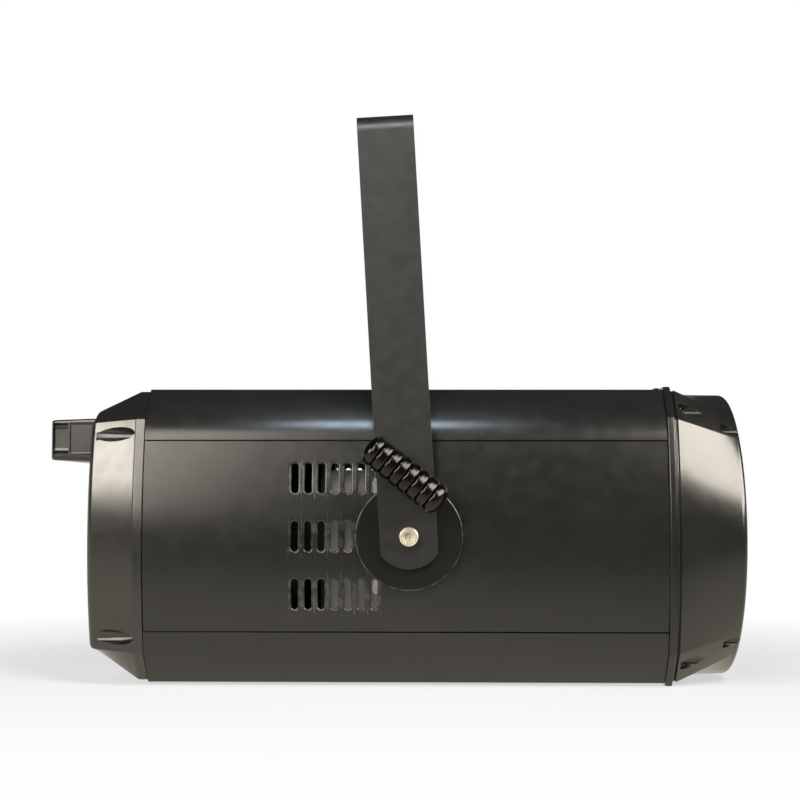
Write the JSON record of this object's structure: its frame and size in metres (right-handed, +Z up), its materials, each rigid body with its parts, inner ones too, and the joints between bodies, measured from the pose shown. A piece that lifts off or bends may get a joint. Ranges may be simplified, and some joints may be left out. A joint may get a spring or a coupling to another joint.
{
  "type": "zoom stage spotlight",
  "caption": "Stage spotlight with an eight-sided vented body, a bezel that turns from eight sides to round, a sliding lens, a flat-bar yoke with ribbed lock handles, and a rear handle.",
  "frame": {"origin": "centre of the bounding box's base, on the plane that the front frame rests on", "axes": "+X the way the light shines, +Y to the left of the beam, +Z up"},
  "size_m": [0.4894, 0.2858, 0.3987],
  "materials": {
    "painted_aluminium": "charcoal powder coat, satin, over aluminium",
    "painted_steel": "charcoal powder coat, satin, over steel",
    "moulded_plastic": "semi-gloss black moulding",
    "black_nickel": "dark polished plating",
    "bright_steel": "bright zinc",
    "black_steel": "black oxide",
    "bare_aluminium": "bare",
    "supply_case": "bare sheet",
    "galvanised_steel": "galvanised",
    "black_plastic": "matt moulding",
    "clear_glass": "pressed, clear",
    "display_glass": "dark tinted, glossy",
    "board_green": "solder mask",
    "brass": "turned",
    "phosphor_yellow": "phosphor under a clear dome"
  },
  "bodies": {
    "housing": {"top_shell": "painted_aluminium", "bottom_shell": "painted_aluminium", "side_panel_left": "painted_aluminium", "side_panel_right": "painted_aluminium", "front_frame": "painted_aluminium", "front_bezel": "moulded_plastic", "rear_cap": "moulded_plastic", "rear_handle": "moulded_plastic", "control_panel": "painted_aluminium", "display_window": "display_glass", "control_board": "board_green", "signal_inlet": "black_plastic", "signal_outlet": "black_plastic", "power_inlet": "black_plastic", "power_outlet": "black_plastic", "fuse_holder": "black_plastic", "cap_screw_upper_right": "black_steel", "cap_screw_upper_left": "black_steel", "cap_screw_lower_left": "black_steel", "cap_screw_lower_right": "black_steel", "bezel_screw_upper_right": "black_steel", "bezel_screw_upper_left": "black_steel", "bezel_screw_lower_left": "black_steel", "bezel_screw_lower_right": "black_steel", "pivot_plate_left": "galvanised_steel", "pivot_plate_right": "galvanised_steel", "friction_disc_left": "painted_steel", "friction_disc_right": "painted_steel", "pivot_screw_left": "bright_steel", "pivot_screw_right": "bright_steel", "mid_plate": "bare_aluminium", "heat_sink": "bare_aluminium", "fan_frame": "black_plastic", "led_module": "phosphor_yellow", "reflector": "bare_aluminium", "power_supply": "supply_case", "guide_rod_upper_right": "bright_steel", "guide_rod_upper_left": "bright_steel", "guide_rod_lower_left": "bright_steel", "zoom_motor": "galvanised_steel"},
    "yoke": {"yoke": "painted_steel"},
    "lock_handle_left": {"lock_handle_left": "black_nickel"},
    "lock_handle_right": {"lock_handle_right": "black_nickel"},
    "lens_carriage": {"lens_carriage": "black_plastic", "fresnel_lens": "clear_glass", "lens_ring": "bare_aluminium", "drive_nut": "brass"},
    "lead_screw": {"lead_screw": "bright_steel"},
    "fan_rotor": {"fan_rotor": "black_plastic"},
    "button_menu": {"button_menu": "black_plastic"},
    "button_up": {"button_up": "black_plastic"},
    "button_down": {"button_down": "black_plastic"},
    "button_enter": {"button_enter": "black_plastic"},
    "outlet_latch": {"outlet_latch": "bright_steel"}
  },
  "joints": [
    {"name": "yoke_tilt", "type": "hinge", "parent": "housing", "child": "yoke", "pos_m": [0.0124, 0, 0.105], "axis": [0, 1, 0], "range_deg": [-135, 135]},
    {"name": "lock_turn_left", "type": "hinge", "parent": "yoke", "child": "lock_handle_left", "pos_m": [0.00998, 0.1109, 0.14693], "axis": [0, -1, 0], "range_deg": [-360, 0]},
    {"name": "lock_turn_right", "type": "hinge", "parent": "yoke", "child": "lock_handle_right", "pos_m": [0.00998, -0.1109, 0.14693], "axis": [0, 1, 0], "range_deg": [-360, 0]},
    {"name": "zoom_travel", "type": "slide", "parent": "housing", "child": "lens_carriage", "axis": [1, 0, 0], "range_m": [-0.095, 0]},
    {"name": "lead_screw_turn", "type": "hinge", "parent": "housing", "child": "lead_screw", "pos_m": [0.0042, -0.07283, 0.03217], "axis": [1, 0, 0], "range_deg": [-5, 4280]},
    {"name": "fan_spin", "type": "hinge", "parent": "housing", "child": "fan_rotor", "pos_m": [-0.0671, 0, 0.105], "axis": [1, 0, 0], "continuous": true},
    {"name": "menu_press", "type": "slide", "parent": "housing", "child": "button_menu", "axis": [1, 0, 0], "range_m": [0, 0.0012], "stiffness_N_per_m": 800},
    {"name": "up_press", "type": "slide", "parent": "housing", "child": "button_up", "axis": [1, 0, 0], "range_m": [0, 0.0012], "stiffness_N_per_m": 800},
    {"name": "down_press", "type": "slide", "parent": "housing", "child": "button_down", "axis": [1, 0, 0], "range_m": [0, 0.0012], "stiffness_N_per_m": 800},
    {"name": "enter_press", "type": "slide", "parent": "housing", "child": "button_enter", "axis": [1, 0, 0], "range_m": [0, 0.0012], "stiffness_N_per_m": 800},
    {"name": "latch_press", "type": "slide", "parent": "housing", "child": "outlet_latch", "axis": [1, 0, 0], "range_m": [0, 0.001], "stiffness_N_per_m": 800}
  ],
  "couplings": [
    {"joint": "lead_screw_turn", "follows": "zoom_travel", "rad_per_m": -785.4}
  ]
}
